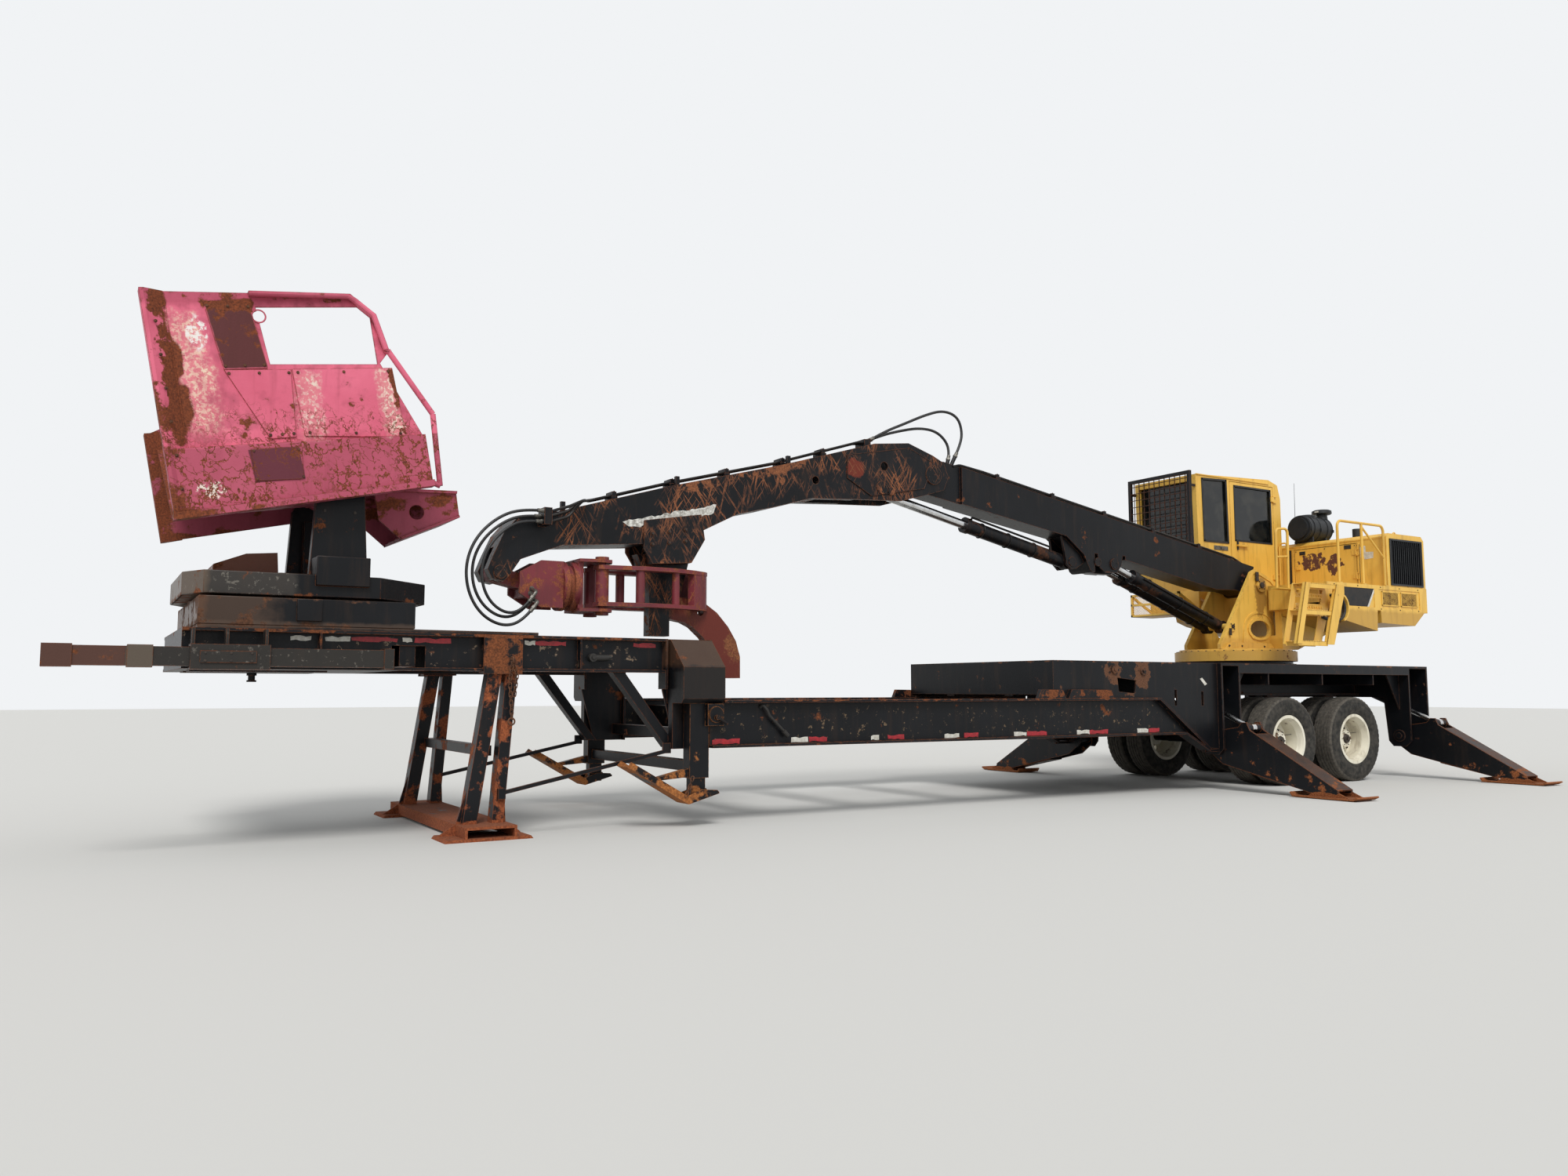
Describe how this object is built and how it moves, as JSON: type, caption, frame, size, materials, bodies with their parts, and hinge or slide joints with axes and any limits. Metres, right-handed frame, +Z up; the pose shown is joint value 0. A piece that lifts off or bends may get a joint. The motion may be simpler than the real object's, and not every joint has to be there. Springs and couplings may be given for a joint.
{
  "type": "trailer-mounted log loader with pull-through delimber",
  "caption": "Knuckle-boom log loader on a gooseneck semi-trailer, with cab, rear engine, grapple, outriggers and a tilting delimber over the gooseneck.",
  "frame": {"origin": "centre of the overall box at ground level, z 0 at the tyres' and stand's feet", "axes": "+X along the trailer to the rear, +Z up, -Y the machine's left side"},
  "size_m": [15.77, 5.7, 4.2375],
  "materials": {
    "black_frame": "worn satin with rust",
    "axle_steel": "dull, greased",
    "rod_chrome": "polished",
    "yellow_paint": "worn gloss",
    "red_paint": "faded, rust scars",
    "tyre_rubber": "dusty",
    "cream_rim": "chalky",
    "pane_glass": "dusty tint",
    "seat_fabric": "worn",
    "engine_iron": "oily",
    "hose_rubber": "satin"
  },
  "bodies": {
    "trailer": {"gooseneck": "black_frame", "kingpin": "axle_steel", "drop_frame": "black_frame", "main_rails": "black_frame", "deck_frame": "black_frame", "outrigger_barrels": "black_frame", "axle_set": "axle_steel", "landing_gear": "black_frame", "front_stand": "black_frame", "stand_strut": "black_frame", "beam_sleeve": "black_frame", "swing_bearing": "black_frame", "delimber_drum": "black_frame"},
    "sliding_beam": {"slide_beam": "black_frame"},
    "upper": {"upper_base": "yellow_paint", "platform": "yellow_paint", "engine_house": "yellow_paint", "radiator_grille": "black_frame", "engine_block": "engine_iron", "air_cleaner": "black_frame", "handrails": "yellow_paint", "ladder": "yellow_paint", "cab_shell": "yellow_paint", "cab_glass": "pane_glass", "cab_guard": "black_frame", "cab_seat": "seat_fabric", "cab_step": "yellow_paint"},
    "hood_door": {"engine_door": "yellow_paint"},
    "cab_door": {"cab_door": "yellow_paint", "cab_door_glass": "pane_glass"},
    "boom": {"boom": "black_frame", "hoses_knuckle": "hose_rubber"},
    "hoist_barrels": {"hoist_barrels": "black_frame"},
    "hoist_rods": {"hoist_rods": "rod_chrome"},
    "stick": {"stick": "black_frame", "heel": "black_frame", "hoses_tip": "hose_rubber"},
    "stick_barrel": {"stick_barrel": "black_frame"},
    "stick_rod": {"stick_rod": "rod_chrome"},
    "grapple": {"grapple_head": "red_paint"},
    "jaw_left": {"jaw_left": "red_paint"},
    "jaw_right": {"jaw_right": "red_paint"},
    "delimber_yoke": {"delimber_yoke": "black_frame"},
    "delimber_body": {"delimber_body": "red_paint"},
    "wheel_front_left": {"tyres_front_left": "tyre_rubber", "rims_front_left": "cream_rim"},
    "wheel_rear_left": {"tyres_rear_left": "tyre_rubber", "rims_rear_left": "cream_rim"},
    "outrigger_front_left": {"outrigger_arm_front_left": "black_frame"},
    "outrigger_rod_front_left": {"outrigger_rod_front_left": "rod_chrome"},
    "outrigger_rear_left": {"outrigger_arm_rear_left": "black_frame"},
    "outrigger_rod_rear_left": {"outrigger_rod_rear_left": "rod_chrome"},
    "wheel_front_right": {"tyres_front_right": "tyre_rubber", "rims_front_right": "cream_rim"},
    "wheel_rear_right": {"tyres_rear_right": "tyre_rubber", "rims_rear_right": "cream_rim"},
    "outrigger_front_right": {"outrigger_arm_front_right": "black_frame"},
    "outrigger_rod_front_right": {"outrigger_rod_front_right": "rod_chrome"},
    "outrigger_rear_right": {"outrigger_arm_rear_right": "black_frame"},
    "outrigger_rod_rear_right": {"outrigger_rod_rear_right": "rod_chrome"}
  },
  "joints": [
    {"name": "beam_slide", "type": "slide", "parent": "trailer", "child": "sliding_beam", "axis": [1, 0, 0], "range_m": [-0.6, 0.2]},
    {"name": "swing", "type": "hinge", "parent": "trailer", "child": "upper", "pos_m": [5.34, 0, 1.5], "axis": [0, 0, 1], "continuous": true},
    {"name": "hood_door_hinge", "type": "hinge", "parent": "upper", "child": "hood_door", "pos_m": [6.991, -0.716, 2.8], "axis": [0, 0, 1], "range_deg": [0, 100]},
    {"name": "cab_door_hinge", "type": "hinge", "parent": "upper", "child": "cab_door", "pos_m": [6.812, 0.386, 3.3], "axis": [0, 0, 1], "range_deg": [0, 95]},
    {"name": "boom_raise", "type": "hinge", "parent": "upper", "child": "boom", "pos_m": [5.54, 0, 2.51], "axis": [0, 1, 0], "range_deg": [0, 50]},
    {"name": "hoist_barrel_hinge", "type": "hinge", "parent": "upper", "child": "hoist_barrels", "pos_m": [4.93, 0, 1.95], "axis": [0, 1, 0], "range_deg": [0, 51]},
    {"name": "hoist_rod_slide", "type": "slide", "parent": "hoist_barrels", "child": "hoist_rods", "axis": [-0.9443, 0, 0.3289], "range_m": [-0.01, 0.72]},
    {"name": "stick_fold", "type": "hinge", "parent": "boom", "child": "stick", "pos_m": [0.13, 0, 3.46], "axis": [0, 1, 0], "range_deg": [-76, 0]},
    {"name": "stick_barrel_hinge", "type": "hinge", "parent": "boom", "child": "stick_barrel", "pos_m": [2.28, 0, 2.65], "axis": [0, 1, 0], "range_deg": [-10, 0.5]},
    {"name": "stick_rod_slide", "type": "slide", "parent": "stick_barrel", "child": "stick_rod", "axis": [0.9777, 0, -0.21], "range_m": [-0.01, 0.79]},
    {"name": "grapple_hang", "type": "hinge", "parent": "stick", "child": "grapple", "pos_m": [-4.63, 0, 2.15], "axis": [0, 1, 0], "range_deg": [0, 116]},
    {"name": "jaw_left_open", "type": "hinge", "parent": "grapple", "child": "jaw_left", "pos_m": [-3.668, -0.14, 2.07], "axis": [0, 0, -1], "range_deg": [0, 45]},
    {"name": "jaw_right_open", "type": "hinge", "parent": "grapple", "child": "jaw_right", "pos_m": [-3.668, 0.14, 2.07], "axis": [0, 0, 1], "range_deg": [0, 45]},
    {"name": "delimber_swivel", "type": "hinge", "parent": "trailer", "child": "delimber_yoke", "pos_m": [-6.19, 0, 1.81], "axis": [0, 0, 1], "range_deg": [-45, 45]},
    {"name": "delimber_tilt", "type": "hinge", "parent": "delimber_yoke", "child": "delimber_body", "pos_m": [-6.02, 0, 2.75], "axis": [0, 1, 0], "range_deg": [-5, 20]},
    {"name": "wheel_front_left_spin", "type": "hinge", "parent": "trailer", "child": "wheel_front_left", "pos_m": [4.709, -0.915, 0.525], "axis": [0, 1, 0], "continuous": true},
    {"name": "wheel_rear_left_spin", "type": "hinge", "parent": "trailer", "child": "wheel_rear_left", "pos_m": [6.03, -0.915, 0.525], "axis": [0, 1, 0], "continuous": true},
    {"name": "outrigger_front_left_fold", "type": "hinge", "parent": "trailer", "child": "outrigger_front_left", "pos_m": [3.605, -1.1, 0.54], "axis": [-1, 0, 0], "range_deg": [0, 75]},
    {"name": "outrigger_rod_front_left_slide", "type": "slide", "parent": "trailer", "child": "outrigger_rod_front_left", "axis": [0, 0.9166, 0.3999], "range_m": [-0.01, 0.54]},
    {"name": "outrigger_rear_left_fold", "type": "hinge", "parent": "trailer", "child": "outrigger_rear_left", "pos_m": [7.37, -1.1, 0.54], "axis": [-1, 0, 0], "range_deg": [0, 75]},
    {"name": "outrigger_rod_rear_left_slide", "type": "slide", "parent": "trailer", "child": "outrigger_rod_rear_left", "axis": [0, 0.9166, 0.3999], "range_m": [-0.01, 0.54]},
    {"name": "wheel_front_right_spin", "type": "hinge", "parent": "trailer", "child": "wheel_front_right", "pos_m": [4.709, 0.915, 0.525], "axis": [0, 1, 0], "continuous": true},
    {"name": "wheel_rear_right_spin", "type": "hinge", "parent": "trailer", "child": "wheel_rear_right", "pos_m": [6.03, 0.915, 0.525], "axis": [0, 1, 0], "continuous": true},
    {"name": "outrigger_front_right_fold", "type": "hinge", "parent": "trailer", "child": "outrigger_front_right", "pos_m": [3.605, 1.1, 0.54], "axis": [1, 0, 0], "range_deg": [0, 75]},
    {"name": "outrigger_rod_front_right_slide", "type": "slide", "parent": "trailer", "child": "outrigger_rod_front_right", "axis": [0, -0.9166, 0.3999], "range_m": [-0.01, 0.54]},
    {"name": "outrigger_rear_right_fold", "type": "hinge", "parent": "trailer", "child": "outrigger_rear_right", "pos_m": [7.37, 1.1, 0.54], "axis": [1, 0, 0], "range_deg": [0, 75]},
    {"name": "outrigger_rod_rear_right_slide", "type": "slide", "parent": "trailer", "child": "outrigger_rod_rear_right", "axis": [0, -0.9166, 0.3999], "range_m": [-0.01, 0.54]}
  ],
  "couplings": [
    {"joint": "hoist_barrel_hinge", "follows": "boom_raise", "ratio": 1},
    {"joint": "hoist_rod_slide", "follows": "boom_raise", "m_per_rad": 0.802},
    {"joint": "stick_fold", "follows": "boom_raise", "ratio": -1.5},
    {"joint": "stick_barrel_hinge", "follows": "boom_raise", "ratio": -0.192},
    {"joint": "stick_rod_slide", "follows": "boom_raise", "m_per_rad": 0.88},
    {"joint": "grapple_hang", "follows": "boom_raise", "ratio": 2.3},
    {"joint": "jaw_right_open", "follows": "jaw_left_open", "ratio": 1},
    {"joint": "outrigger_rod_front_left_slide", "follows": "outrigger_front_left_fold", "m_per_rad": 0.4},
    {"joint": "outrigger_rod_rear_left_slide", "follows": "outrigger_rear_left_fold", "m_per_rad": 0.4},
    {"joint": "outrigger_rod_front_right_slide", "follows": "outrigger_front_right_fold", "m_per_rad": 0.4},
    {"joint": "outrigger_rod_rear_right_slide", "follows": "outrigger_rear_right_fold", "m_per_rad": 0.4}
  ]
}
